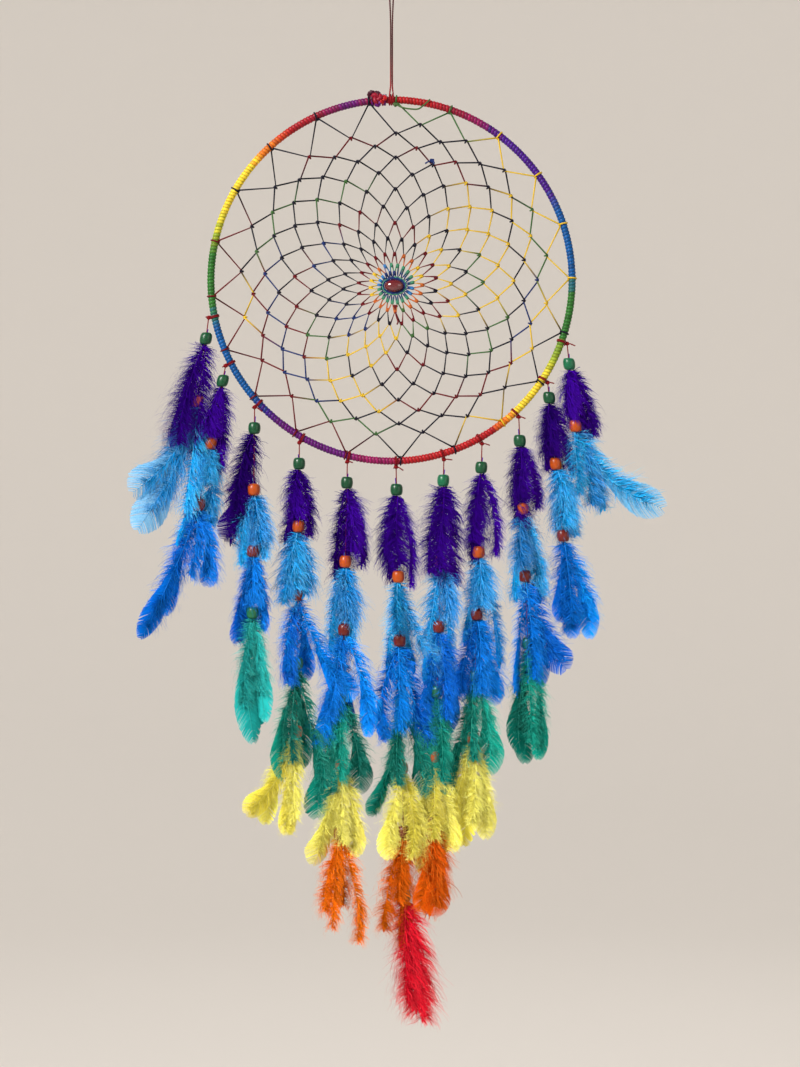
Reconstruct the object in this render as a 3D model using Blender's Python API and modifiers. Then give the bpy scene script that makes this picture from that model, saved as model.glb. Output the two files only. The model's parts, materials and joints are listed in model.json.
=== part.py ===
"""Dream catcher: a cord-wound hoop with a thread web, a hanging loop and eleven feathered strands.

Metres, +Z up. The origin is the nail that carries the hanging loop, and the front faces -Y.
"""

import math
from collections import namedtuple

import bmesh
import bpy
import numpy as np
from mathutils import Matrix, Vector

# Millimetres in a metre
MILLIMETRES = 1000

# Gap kept between pieces that touch, and the distance within which points are welded
CLEARANCE = 0.0003
WELD = 0.00001

# Hoop: a wire ring inside a wound cover
HOOP_OUTER_DIAMETER = 0.318
RING_WIRE_DIAMETER = 0.0030
WRAP_WALL = 0.0015
WRAP_OPENING_ANGLE = 0.9
WRAP_KNOT_ANGLE = -4.0
WRAP_KNOT_CORD = 0.0034
WRAP_KNOT_PITCH = 0.0043
WRAP_KNOT_TURNS = 2.5
HOOP_SEGMENTS = 60
WRAP_SIDES = 8
RING_SIDES = 6

# Hanger: one doubled cord with its bight on the nail and its hitch on the hoop
HANGER_DROP = 0.1088
HANGER_CORD = 0.0013
HANGER_LEG_SPACING = 0.0018
NAIL_DIAMETER = 0.005
HITCH_PITCH = 0.0017
HITCH_TURNS = 2.5
HITCH_LEG = 0.004
HITCH_GATHER = 0.022
BIGHT_TAPER = 0.042
BIGHT_TAPER_SHARE = 0.4
BIGHT_POINTS = 7
ROUTE_STEPS = 2
LOOP_POINTS = 18

# How many diameters along a cord its own neighbouring turns start
COIL_REACH = 3
LOOP_REACH = 4
WEB_REACH = 6

# Web: one thread that spirals in, each hitch on the middle of the span before it
WEB_ANCHORS = 20
WEB_ROW_SHIFT = 0.5
WEB_THREAD = 0.0009
WEB_START_ANGLE = 1.6
WEB_CENTRE_RIGHT = 0.0022
WEB_CENTRE_DOWN = 0.0047
WEB_LAYER_OFFSET = 0.00075
WEB_NODE_LAP = 0.0004
WEB_INNER_MARGIN = 0.0009
BEAD_RING_START = 30
BEAD_RING_END = 270
BEAD_RING_POINTS = 12
WEB_ROW_SHARES = (1, 0.897, 0.830, 0.756, 0.686, 0.597, 0.499, 0.395, 0.297, 0.205, 0.113, 0.046, 0)
CENTRE_BEAD_LENGTH = 0.0165
CENTRE_BEAD_DIAMETER = 0.0110
CENTRE_BEAD_STOPS = 6
CENTRE_BEAD_SIDES = 12
CENTRE_BEAD_END = 0.25

# Strands: cords with barrel beads, each bead above a tuft of feathers
STRAND_CORD = 0.0011
KNOT_DIAMETER = 0.0032
KNOT_PROFILE = ((-1, 0.4), (-0.6, 0.8), (0, 1), (0.6, 0.8))
BEAD_DIAMETER = 0.0106
BEAD_LENGTH = 0.0102
BEAD_END_DIAMETER = 0.0066
BEAD_STEP = 0.0001
CORD_END = 0.006
FIRST_DROP = 0.018
TIER_DROP = 0.054

# Feathers: flat blades in front of and behind the cord, bundled at the bead
FEATHER_LENGTH = 0.090
END_FEATHER_LENGTH = 0.104
FEATHER_WIDTH = 0.023
FEATHER_THICKNESS = 0.0048
FEATHER_SPREAD = 0.013
QUILL_WALL = 0.0026
QUILL_STEP = 0.0008
QUILL_NARROWING = 0.0002
QUILL_SHIFT = 0.00027
BEAD_TO_FEATHER = 0.001
COLUMN_GAP = 0.002
TIP_MARGIN = 0.010

# Strands that keep their end tuft on the cord, because it is tied on there
JOINED_END_TIERS = 5

# Tie angle from the hoop's bottom in degrees, sideways lean, tiers of feathers, share of FIRST_DROP to the
# first bead, shares of TIER_DROP to the second and between the others, share of FEATHER_LENGTH that the end
# tuft is swept sideways
Strand = namedtuple("Strand", "tie lean tiers first second between sweep")
STRANDS = (
    Strand(-78.5, -0.13, 2, 1.000, 1.000, 1.000, -0.44),
    Strand(-62.8, -0.19, 3, 0.722, 1.000, 0.981, -0.31),
    Strand(-47.2, -0.01, 4, 1.000, 0.981, 0.981, -0.13),
    Strand(-29.6, -0.01, 5, 1.000, 1.000, 1.093, -0.20),
    Strand(-13.7, -0.02, 6, 1.000, 1.259, 1.087, 0.00),
    Strand(1.4, 0.02, 7, 1.083, 1.389, 1.019, 0.11),
    Strand(16.3, -0.03, 6, 1.000, 1.296, 1.037, 0.00),
    Strand(29.0, -0.03, 5, 1.139, 1.352, 0.991, 0.07),
    Strand(43.0, 0.04, 4, 1.139, 1.087, 1.074, 0.09),
    Strand(56.8, 0.10, 3, 0.722, 1.056, 1.148, 0.11),
    Strand(70.2, 0.10, 2, 0.972, 0.991, 0.991, 0.67),
)

# One feather of a tuft: its order, its side of the cord (front -1), sideways reach of its tip, length
Blade = namedtuple("Blade", "order side reach length")
FLARE_STEP = 0.04
SHORTER = 0.93
AGAINST_SWEEP = 0.3
FEATHER_TWIST = 0.11
TWIST_MIDDLE = 0.6
REACH_POWER = 1.3
QUILL_DEPTH_SHARE = 1 / 3

# Stations along a feather: share of its length, share of its width, share of its thickness
FEATHER_STATIONS = ((0.3, 0.85, 1.0), (0.75, 1.0, 0.75), (1.0, 0.35, 0.25))

# Feather colours, from the bead nearest the hoop downwards
TIER_COLOURS = (
    ("purple", (0.06, 0.005, 0.30)),
    ("light_blue", (0.05, 0.36, 0.80)),
    ("blue", (0.01, 0.04, 0.40)),
    ("green", (0.00, 0.30, 0.18)),
    ("yellow", (0.85, 0.62, 0.03)),
    ("orange", (0.85, 0.20, 0.01)),
    ("red", (0.50, 0.01, 0.02)),
)

WRAP_DIAMETER = RING_WIRE_DIAMETER + 2 * (CLEARANCE + WRAP_WALL)
RING_RADIUS = (HOOP_OUTER_DIAMETER - WRAP_DIAMETER) / 2
HOOP_CENTRE = Vector((0, 0, -HANGER_DROP - HOOP_OUTER_DIAMETER / 2))
RING_TOP = HOOP_CENTRE + Vector((0, 0, RING_RADIUS))
HITCH_RADIUS = WRAP_DIAMETER / 2 + CLEARANCE + HANGER_CORD / 2
HITCH_TOP = RING_TOP.z + WRAP_DIAMETER / 2 + HITCH_LEG


def clear_scene():
    for item in list(bpy.data.objects):
        bpy.data.objects.remove(item)


def material(name, colour, roughness, metallic=0.0):
    """The named Principled material, made once."""
    if name in bpy.data.materials:
        return bpy.data.materials[name]
    made = bpy.data.materials.new(name)
    made.use_nodes = True
    shader = made.node_tree.nodes["Principled BSDF"]
    shader.inputs["Base Color"].default_value = (*colour, 1)
    shader.inputs["Roughness"].default_value = roughness
    shader.inputs["Metallic"].default_value = metallic
    return made


def add(name, data, parent, at, finish=None):
    """Link an object at a world position, under its parent."""
    made = bpy.data.objects.new(name, data)
    PARTS.objects.link(made)
    made.parent = parent
    made.location = Vector(at) - (world_of(parent) if parent else Vector())
    if finish:
        data.materials.clear()
        data.materials.append(finish)
    return made


def world_of(item):
    """Where an unrotated object stands, down its chain of parents."""
    place = Vector()
    while item:
        place += item.location
        item = item.parent
    return place


def tube(name, points, diameter, resolution, radii=None):
    """A round curve through points, with closed ends, and with radii where it swells."""
    curve = bpy.data.curves.new(name, "CURVE")
    curve.dimensions = "3D"
    curve.bevel_depth = diameter / 2
    curve.bevel_resolution = resolution
    curve.use_fill_caps = True
    spline = curve.splines.new("POLY")
    spline.points.add(len(points) - 1)
    for number, point in enumerate(points):
        spline.points[number].co = (*point, 1)
        if radii is not None:
            spline.points[number].radius = radii[number] / curve.bevel_depth
    return curve


def smooth_route(route, steps):
    """Points on a smooth curve through the route's own points."""
    ends = [route[0], *route, route[-1]]
    points = []
    for before, start, end, after in zip(ends, ends[1:], ends[2:], ends[3:]):
        for step in range(steps):
            t = step / steps
            pull = (after - start) * (t**3 - t**2) / 2 + (end - before) * (t**3 - 2 * t**2 + t) / 2
            points.append(start * (2 * t**3 - 3 * t**2 + 1) + end * (3 * t**2 - 2 * t**3) + pull)
    return [*points, route[-1]]


def least_gap(points, diameter, apart):
    """The least gap between stretches of one tube that lie further than apart along it."""
    points = np.array([tuple(point) for point in points])
    steps = np.maximum(np.ceil(np.linalg.norm(np.diff(points, axis=0), axis=1) / diameter), 1)
    dense = np.vstack(
        [
            start + (end - start) * np.arange(count)[:, None] / count
            for start, end, count in zip(points, points[1:], steps)
        ]
    )
    along = np.concatenate([[0], np.cumsum(np.linalg.norm(np.diff(dense, axis=0), axis=1))])
    least = math.inf
    for point, here in zip(dense, along):
        others = dense[np.abs(along - here) > apart]
        if len(others):
            least = min(least, np.linalg.norm(others - point, axis=1).min())
    return least - diameter


def report_gap(name, points, diameter, apart):
    print(f"{name}: least gap to itself {MILLIMETRES * least_gap(points, diameter, apart):.2f} mm")


def loft(name, rings):
    """A closed solid through rings of equal counts, capped at both ends."""
    mesh = bpy.data.meshes.new(name)
    shape = bmesh.new()
    loops = [[shape.verts.new(point) for point in ring] for ring in rings]
    for upper, lower in zip(loops, loops[1:]):
        for a, b, c, d in zip(upper, upper[1:] + upper[:1], lower[1:] + lower[:1], lower):
            shape.faces.new((a, b, c, d))
    shape.faces.new(loops[0][::-1])
    shape.faces.new(loops[-1])
    bmesh.ops.recalc_face_normals(shape, faces=shape.faces)
    bmesh.ops.triangulate(shape, faces=shape.faces)
    shape.to_mesh(mesh)
    shape.free()
    return mesh


def evaluated_mesh(item):
    bpy.context.view_layer.update()
    return bpy.data.meshes.new_from_object(item.evaluated_get(bpy.context.evaluated_depsgraph_get()))


def curve_as_mesh(item):
    """Replace a curve object by a mesh object of the same name, with its caps welded."""
    name, parent, place = item.name, item.parent, world_of(item)
    mesh = evaluated_mesh(item)
    shape = bmesh.new()
    shape.from_mesh(mesh)
    bmesh.ops.remove_doubles(shape, verts=shape.verts, dist=WELD)
    bmesh.ops.triangulate(shape, faces=shape.faces)
    shape.to_mesh(mesh)
    shape.free()
    finish = item.data.materials[0]
    bpy.data.objects.remove(item)
    return add(name, mesh, parent, place, finish)


def combine(item, tool, operation):
    """Join the tool to the item or cut it out, worked in millimetres, and remove the tool."""
    for worked in (item, tool):
        worked.data.transform(Matrix.Scale(MILLIMETRES, 4))
    modifier = item.modifiers.new(operation.title(), "BOOLEAN")
    modifier.operation = operation
    modifier.object = tool
    mesh = evaluated_mesh(item)
    mesh.transform(Matrix.Scale(1 / MILLIMETRES, 4))
    item.modifiers.clear()
    item.data = mesh
    bpy.data.objects.remove(tool)


def hoop_point(angle, radius):
    """A point from the hoop's centre, by its angle clockwise from the top as seen from the front."""
    return Vector((radius * math.sin(angle), 0, radius * math.cos(angle)))


def make_ring(parent):
    bpy.ops.mesh.primitive_torus_add(
        major_radius=RING_RADIUS,
        minor_radius=RING_WIRE_DIAMETER / 2,
        major_segments=HOOP_SEGMENTS,
        minor_segments=RING_SIDES,
    )
    made = bpy.context.object
    mesh = made.data
    mesh.transform(Matrix.Rotation(math.pi / 2, 4, "X"))
    mesh.shade_smooth()
    bpy.data.objects.remove(made)
    mesh.name = "hoop_ring"
    add("hoop_ring", mesh, parent, HOOP_CENTRE, material("ring_steel", (0.35, 0.34, 0.33), 0.4, 1.0))


def make_wrap(parent):
    """The wound cover: a round section turned about the hoop's axis and given its wall."""
    mesh = bpy.data.meshes.new("hoop_wrap")
    shape = bmesh.new()
    bmesh.ops.create_circle(shape, segments=WRAP_SIDES, radius=WRAP_DIAMETER / 2)
    opening = math.radians(WRAP_OPENING_ANGLE)
    start = math.radians(WRAP_KNOT_ANGLE) + opening / 2
    lift = Matrix.Rotation(math.pi / 2, 4, "Y")
    turn = Matrix.Rotation(start, 4, "Y")
    place = turn @ Matrix.Translation((0, 0, RING_RADIUS)) @ lift
    bmesh.ops.transform(shape, matrix=place, verts=shape.verts)
    shape.to_mesh(mesh)
    shape.free()
    made = add("hoop_wrap", mesh, parent, HOOP_CENTRE, material("wrap_cord", (0.45, 0.02, 0.10), 0.35))
    screw = made.modifiers.new("Turn", "SCREW")
    screw.axis = "Y"
    screw.angle = 2 * math.pi - opening
    screw.steps = HOOP_SEGMENTS
    screw.render_steps = HOOP_SEGMENTS
    screw.merge_threshold = WELD
    wall = made.modifiers.new("Wall", "SOLIDIFY")
    wall.thickness = WRAP_WALL
    wall.offset = 1


def make_wrap_knot(parent):
    """The wrap's two ends, wound round the hoop as a coil that follows its curve."""
    radius = WRAP_DIAMETER / 2 + CLEARANCE + WRAP_KNOT_CORD / 2
    count = round(WRAP_KNOT_TURNS * LOOP_POINTS)
    points = []
    for number in range(count + 1):
        turns = WRAP_KNOT_TURNS * (number / count - 0.5)
        spin = 2 * math.pi * turns
        angle = math.radians(WRAP_KNOT_ANGLE) + turns * WRAP_KNOT_PITCH / RING_RADIUS
        point = hoop_point(angle, RING_RADIUS + radius * math.cos(spin))
        point.y = radius * math.sin(spin)
        points.append(point)
    curve = tube("wrap_knot", points, WRAP_KNOT_CORD, 1)
    report_gap("wrap_knot", points, WRAP_KNOT_CORD, COIL_REACH * WRAP_KNOT_CORD)
    add("wrap_knot", curve, parent, HOOP_CENTRE, material("wrap_knot_cord", (0.18, 0.01, 0.05), 0.4))


def hitch_points():
    """The hitch: down in front of the hoop, round it, and up behind it, from the ring's top."""
    count = round(HITCH_TURNS * LOOP_POINTS)
    points = []
    for number in range(count + 1):
        turns = HITCH_TURNS * number / count
        spin = 2 * math.pi * turns
        across = HITCH_PITCH * (turns - HITCH_TURNS / 2)
        points.append(Vector((across, -HITCH_RADIUS * math.cos(spin), -HITCH_RADIUS * math.sin(spin))))
    lift = Vector((0, 0, HITCH_TOP - RING_TOP.z))
    return [points[0] + lift, *points, points[-1] + lift]


def make_hitch(parent):
    points = hitch_points()
    curve = tube("hanger_hitch", points, HANGER_CORD, 1)
    report_gap("hanger_hitch", points, HANGER_CORD, COIL_REACH * HANGER_CORD)
    add("hanger_hitch", curve, parent, RING_TOP, material("hitch_cord", (0.22, 0.01, 0.02), 0.5))


def make_hanger():
    """The doubled cord: up from the hitch, close together, over the nail and down again."""
    foot = hitch_points()[0] + RING_TOP
    foot.z = HITCH_TOP + CLEARANCE
    leg = HANGER_LEG_SPACING / 2
    bight = NAIL_DIAMETER / 2 + HANGER_CORD / 2
    centre = -NAIL_DIAMETER / 2
    left = [
        foot + Vector((0, 0, HANGER_CORD)),
        Vector((-leg, 0, foot.z + HITCH_GATHER)),
        Vector((-leg, 0, (foot.z + HITCH_GATHER + centre - BIGHT_TAPER) / 2)),
        Vector((-leg, 0, centre - BIGHT_TAPER)),
        Vector((-(leg + bight) / 2, 0, centre - BIGHT_TAPER * BIGHT_TAPER_SHARE)),
    ]
    over = [
        Vector((-bight * math.cos(turn), 0, centre + bight * math.sin(turn)))
        for turn in np.linspace(0, math.pi, BIGHT_POINTS)
    ]
    right = [Vector((-point.x, -point.y, point.z)) for point in reversed(left)]
    other_foot = Vector((-foot.x, -foot.y, foot.z))
    points = [foot, *smooth_route([*left, *over, *right], ROUTE_STEPS), other_foot]
    curve = tube("hanger_loop", points, HANGER_CORD, 2)
    report_gap("hanger_loop", points, HANGER_CORD, LOOP_REACH * HANGER_CORD)
    add("hanger_loop", curve, None, Vector(), material("hanger_cord", (0.20, 0.01, 0.02), 0.5))


def web_centre():
    return Vector((WEB_CENTRE_RIGHT, 0, -WEB_CENTRE_DOWN))


def web_bead_ring():
    """Half the length and half the height of the thread ring round the centre bead."""
    room = CLEARANCE + WEB_THREAD / 2
    return CENTRE_BEAD_LENGTH / 2 + room, CENTRE_BEAD_DIAMETER / 2 + room


def web_points():
    """The thread's route from the hoop's centre: rows of hitches, the bead's ring, the bead's bore."""
    per_row = WEB_ANCHORS + WEB_ROW_SHIFT
    last = round(per_row * (len(WEB_ROW_SHARES) - 1))
    wall = RING_RADIUS - WRAP_DIAMETER / 2
    facet = math.cos(math.pi / HOOP_SEGMENTS)
    outer = (wall - CLEARANCE) * facet - WEB_THREAD / 2
    ring_length, ring_height = web_bead_ring()
    inner = ring_length + WEB_THREAD + WEB_INNER_MARGIN
    centre = web_centre()

    def hitch(number, lap, layer):
        row = number / per_row
        share = 1.0 if number <= WEB_ANCHORS else np.interp(row, range(len(WEB_ROW_SHARES)), WEB_ROW_SHARES)
        radius = inner + (outer - inner) * share
        angle = math.radians(WEB_START_ANGLE) + 2 * math.pi * number / per_row
        point = hoop_point(angle, radius + lap * (share < 1)) + centre * (1 - share)
        point.y = layer
        return point

    points = []
    for number in range(last + 1):
        points.append(hitch(number, WEB_NODE_LAP, -WEB_LAYER_OFFSET))
        pulled = number + WEB_ANCHORS + 1
        if pulled <= last:
            points.append(hitch(pulled, -WEB_NODE_LAP, WEB_LAYER_OFFSET))
    for angle in np.radians(np.linspace(BEAD_RING_START, BEAD_RING_END, BEAD_RING_POINTS)):
        points.append(centre + Vector((ring_length * math.sin(angle), 0, ring_height * math.cos(angle))))
    points.append(centre + Vector((CENTRE_BEAD_LENGTH / 4, 0, 0)))
    return points


def make_web(parent):
    points = web_points()
    curve = tube("web_net", points, WEB_THREAD, 0)
    report_gap("web_net", points, WEB_THREAD, WEB_REACH * WEB_THREAD)
    add("web_net", curve, parent, HOOP_CENTRE, material("web_thread", (0.03, 0.03, 0.07), 0.6))


def make_centre_bead(parent):
    """An oval bead, turned about the thread that runs through it."""
    half, radius = CENTRE_BEAD_LENGTH / 2, CENTRE_BEAD_DIAMETER / 2
    bore = WEB_THREAD / 2 + CLEARANCE
    turns = np.linspace(CENTRE_BEAD_END, math.pi - CENTRE_BEAD_END, CENTRE_BEAD_STOPS)
    stops = [(half * math.cos(turn), radius * math.sin(turn)) for turn in turns]
    profile = [(stops[0][0], bore), *stops, (stops[-1][0], bore)]
    mesh = bpy.data.meshes.new("centre_bead")
    shape = bmesh.new()
    verts = [shape.verts.new((along, 0, out)) for along, out in profile]
    for a, b in zip(verts, verts[1:] + verts[:1]):
        shape.edges.new((a, b))
    shape.to_mesh(mesh)
    shape.free()
    finish = material("centre_bead_lacquer", (0.16, 0.005, 0.01), 0.08)
    made = add("centre_bead", mesh, parent, HOOP_CENTRE + web_centre(), finish)
    screw = made.modifiers.new("Turn", "SCREW")
    screw.axis = "X"
    screw.steps = CENTRE_BEAD_SIDES
    screw.render_steps = CENTRE_BEAD_SIDES
    screw.use_merge_vertices = True
    screw.merge_threshold = WELD


def strand_pivot(strand):
    """The middle of a strand's knot, under its tie on the hoop."""
    radius = HOOP_OUTER_DIAMETER / 2 + CLEARANCE + KNOT_DIAMETER / 2
    return HOOP_CENTRE + hoop_point(math.pi - math.radians(strand.tie), radius)


def bead_drops(strand):
    """How far each of a strand's beads lies below its knot."""
    first = strand.first * FIRST_DROP
    drops = [first, first + strand.second * TIER_DROP]
    while len(drops) < strand.tiers:
        drops.append(drops[-1] + strand.between * TIER_DROP)
    return drops


def tip_drop(strand):
    return bead_drops(strand)[-1] + BEAD_LENGTH / 2 + END_FEATHER_LENGTH


def column(number, z):
    """How far left and right of the frame's middle a strand's feathers may reach at a height."""
    own = line_at(STRANDS[number], z)
    sides = []
    for beside in (number - 1, number + 1):
        side = beside - number
        present = 0 <= beside < len(STRANDS)
        if present:
            other = STRANDS[beside]
            present = z > strand_pivot(other).z - tip_drop(other) - TIP_MARGIN
        sides.append((own + line_at(other, z)) / 2 - side * COLUMN_GAP if present else side * math.inf)
    return sides


def line_at(strand, z):
    """Where a strand's cord is at a height, sideways."""
    pivot = strand_pivot(strand)
    return pivot.x + strand.lean * (pivot.z - z)


def flare_of(strand):
    """How steeply feathers stand out, so that they clear the bead below."""
    nearest = min(strand.second, strand.between) * TIER_DROP - BEAD_LENGTH
    quill = (STRAND_CORD / 2 + CLEARANCE + QUILL_WALL) * QUILL_DEPTH_SHARE
    room = BEAD_DIAMETER / 2 + BEAD_TO_FEATHER + FEATHER_THICKNESS / 2 - quill
    return room / nearest


def feather(name, number, drop, blade):
    """One blade as a loft of flat sections, from the quills under the bead to the rounded tip."""
    strand = STRANDS[number]
    pivot = strand_pivot(strand)
    root = STRAND_CORD / 2 + CLEARANCE + QUILL_WALL - blade.order * QUILL_NARROWING
    drop += blade.order * QUILL_STEP
    flare = flare_of(strand) * (1 - blade.order * FLARE_STEP)
    rings = []
    for along, width, thick in ((0.0, None, None), *FEATHER_STATIONS):
        below = drop + along * blade.length
        half_width = root if width is None else width * FEATHER_WIDTH / 2
        half_thick = root if thick is None else thick * FEATHER_THICKNESS / 2
        left, right = column(number, pivot.z - below)
        half_width = min(half_width, (right - left) / 2)
        across = line_at(strand, pivot.z - below) + blade.reach * along**REACH_POWER
        across = min(max(across, left + half_width), right - half_width) - pivot.x
        out = blade.side * (root * QUILL_DEPTH_SHARE + flare * along * blade.length)
        turned = Matrix.Rotation(FEATHER_TWIST * (blade.order - TWIST_MIDDLE) * blade.side, 3, "Z")
        section = ((-half_width, 0), (0, -half_thick), (half_width, 0), (0, half_thick))
        middle = Vector((across + (blade.order - 1) * QUILL_SHIFT, out, -below))
        rings.append([middle + turned @ Vector((*corner, 0)) for corner in section])
    return loft(name, rings)


def tuft_blades(number, tier):
    """The feathers of a tuft: one on each side of the cord, and a third in the end tuft."""
    strand = STRANDS[number]
    side = 1 if (number + tier) % 2 else -1
    if tier < strand.tiers - 1:
        half = FEATHER_SPREAD / 2
        longer = Blade(0, side, side * half, FEATHER_LENGTH)
        return [longer, Blade(1, -side, -side * half, SHORTER * FEATHER_LENGTH)]
    blades = []
    for order, way in enumerate((0, -1, 1)):
        drawn = AGAINST_SWEEP if way * strand.sweep < 0 else 1.0
        reach = way * FEATHER_SPREAD + drawn * strand.sweep * FEATHER_LENGTH
        blades.append(Blade(order, side if way == 0 else -side, reach, SHORTER**order * END_FEATHER_LENGTH))
    return blades


def make_tuft(name, number, tier, parent, bored):
    """A tuft's feathers joined at their quills, and bored for the cord where it runs on."""
    strand = STRANDS[number]
    pivot = strand_pivot(strand)
    tilt = abs(strand.lean) * max(BEAD_END_DIAMETER / 2, STRAND_CORD / 2 + CLEARANCE + QUILL_WALL)
    drop = bead_drops(strand)[tier] + BEAD_LENGTH / 2 + BEAD_STEP + CLEARANCE + tilt
    colour_name, colour = TIER_COLOURS[tier]
    finish = material(f"feather_{colour_name}", colour, 0.7)
    made = None
    for blade in tuft_blades(number, tier):
        single = add(name, feather(name, number, drop, blade), parent, pivot, finish)
        if made is None:
            made = single
        else:
            combine(made, single, "UNION")
    if bored:
        start = drop - BEAD_LENGTH
        stop = drop + FEATHER_LENGTH
        route = [Vector((strand.lean * below, 0, -below)) for below in (start, stop)]
        bore = tube("cord_guide", route, STRAND_CORD + 2 * CLEARANCE, 1)
        guide = add("cord_guide", bore, parent, pivot, finish)
        combine(made, curve_as_mesh(guide), "DIFFERENCE")
    made.name = name
    return made


def make_strand(number, parent):
    strand = STRANDS[number]
    pivot = strand_pivot(strand)
    label = f"strand_{number + 1:02d}"
    hinge = add(f"{label}_swing_axis", None, parent, pivot)
    knot, cord = KNOT_DIAMETER / 2, STRAND_CORD / 2
    stations = [(share * knot, radius * knot) for share, radius in KNOT_PROFILE]
    stations.append((knot, cord))
    bead, end, half = BEAD_DIAMETER / 2, BEAD_END_DIAMETER / 2, BEAD_LENGTH / 2
    for drop in bead_drops(strand):
        stations += [(drop - half - BEAD_STEP, cord), (drop - half, end), (drop - half / 2, bead)]
        stations += [(drop + half / 2, bead), (drop + half, end), (drop + half + BEAD_STEP, cord)]
    stations.append((stations[-1][0] + CORD_END, cord))
    points = [Vector((strand.lean * below, 0, -below)) for below, _ in stations]
    curve = tube(f"{label}_cord", points, STRAND_CORD, 1, [radius for _, radius in stations])
    strung = add(f"{label}_cord", curve, hinge, pivot, material("strand_cord", (0.40, 0.01, 0.02), 0.5))
    for tier in range(strand.tiers):
        ending = tier == strand.tiers - 1
        joined = ending and strand.tiers >= JOINED_END_TIERS
        tuft = make_tuft(f"{label}_tuft_{tier + 1}", number, tier, hinge, not joined)
        if joined:
            combine(curve_as_mesh(strung), tuft, "UNION")


clear_scene()
PARTS = bpy.data.collections.new("Dream catcher")
bpy.context.scene.collection.children.link(PARTS)
make_hanger()
TURN_AXIS = add("hoop_turn_axis", None, None, (0, 0, HITCH_TOP))
make_hitch(TURN_AXIS)
TILT_AXIS = add("hoop_tilt_axis", None, TURN_AXIS, RING_TOP)
make_ring(TILT_AXIS)
make_wrap(TILT_AXIS)
make_wrap_knot(TILT_AXIS)
make_web(TILT_AXIS)
make_centre_bead(TILT_AXIS)
for strand_number in range(len(STRANDS)):
    make_strand(strand_number, TILT_AXIS)
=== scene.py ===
import json
import math

import bpy
import numpy as np
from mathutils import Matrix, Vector


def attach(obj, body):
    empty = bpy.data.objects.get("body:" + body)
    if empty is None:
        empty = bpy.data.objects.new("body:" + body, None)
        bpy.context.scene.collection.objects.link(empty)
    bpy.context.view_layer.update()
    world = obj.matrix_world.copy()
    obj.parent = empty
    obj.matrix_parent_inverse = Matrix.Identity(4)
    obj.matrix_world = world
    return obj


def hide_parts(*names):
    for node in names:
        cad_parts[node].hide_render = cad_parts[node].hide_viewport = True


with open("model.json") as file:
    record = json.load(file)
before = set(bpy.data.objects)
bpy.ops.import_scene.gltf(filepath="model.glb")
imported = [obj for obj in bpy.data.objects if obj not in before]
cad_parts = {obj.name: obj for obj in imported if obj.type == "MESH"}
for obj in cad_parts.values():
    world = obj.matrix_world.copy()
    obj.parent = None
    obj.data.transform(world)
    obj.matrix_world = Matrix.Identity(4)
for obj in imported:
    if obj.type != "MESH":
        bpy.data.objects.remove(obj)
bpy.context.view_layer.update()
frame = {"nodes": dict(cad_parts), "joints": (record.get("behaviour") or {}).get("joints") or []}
MM = 0.001

# Hoop and hanger, as in the solids
HOOP_OUTER_RADIUS = 159 * MM
WRAP_RADIUS = 3.3 * MM
HANGER_DROP = 108.8 * MM
NAIL_RADIUS = 2.5 * MM
HITCH_PITCH = 1.7 * MM
HITCH_TURNS = 2.5
RING_RADIUS = HOOP_OUTER_RADIUS - WRAP_RADIUS
HOOP_CENTRE = np.array([0, 0, -HANGER_DROP - HOOP_OUTER_RADIUS])
RING_TOP = HOOP_CENTRE + [0, 0, RING_RADIUS]
HITCH_TOP = -HANGER_DROP + 4 * MM

# Hanging cord, 0.1 mm thicker than its solid: half the width between its legs along their run and at the
# hitch, its clearance from wrap and hitch, the lay of its plies, and the height above which it is dark
HANGER_CORD = 1.4 * MM
HANGER_LEG = 0.68 * MM
HITCH_NECK = 1.2 * MM
HITCH_GAP = 0.3 * MM
HANGER_LAY = 4 * MM
HANGER_DARK_ABOVE = -72 * MM
HANGER_DARK, HANGER_RED = (0.050, 0.001, 0.004), (0.230, 0.005, 0.010)

# Seeds of the random draws
WRAP_SEED, WEB_SEED, TIE_SEED, STRAND_SEEDS = 4, 11, 40, 100

# Ring of wire, and the wrap's turns of satin cord with the grooves between them
WIRE_GREY = (0.42, 0.41, 0.40, 1.0)
WRAP_TURNS = 335
WRAP_GROOVE = 0.8 * MM

# Web: anchors, rows and centre as in the solids, and a thread as thick as the photograph shows it
WEB_ANCHORS = 20
WEB_PER_ROW = WEB_ANCHORS + 0.5
WEB_THREAD = 1.45 * MM
WEB_START = math.radians(1.6)
WEB_CENTRE = np.array([2.2, 0, -4.7]) * MM
WEB_SHARES = (1, 0.897, 0.830, 0.756, 0.686, 0.597, 0.499, 0.395, 0.297, 0.205, 0.113, 0.046, 0)
WEB_INNER = 10.8 * MM
WEB_SIDES = 7

# The thread's loops round the hoop and its hitches on itself: clearance or rise, and advance along the row
LOOP_GAP, LOOP_ADVANCE = 0.3 * MM, 1.3 * MM
HITCH_RISE, HITCH_OUT, HITCH_ADVANCE = 0.95 * WEB_THREAD, 0.3 * MM, 1.1 * MM

# Oval centre bead: half its length and its radius, its bore's radius, the angle at which its round ends stop,
# how often the thread goes round it, and how near the last row's thread dips to it
BEAD_HALF = np.array([8.25, 5.5]) * MM
BEAD_BORE = 0.75 * MM
BEAD_END = 0.14
BEAD_WINDS = 3.6
DIP_GAP, DIP_OUT = 1.6 * MM, 0.4 * MM
BEAD_WINE = (0.11, 0.004, 0.008)

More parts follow.
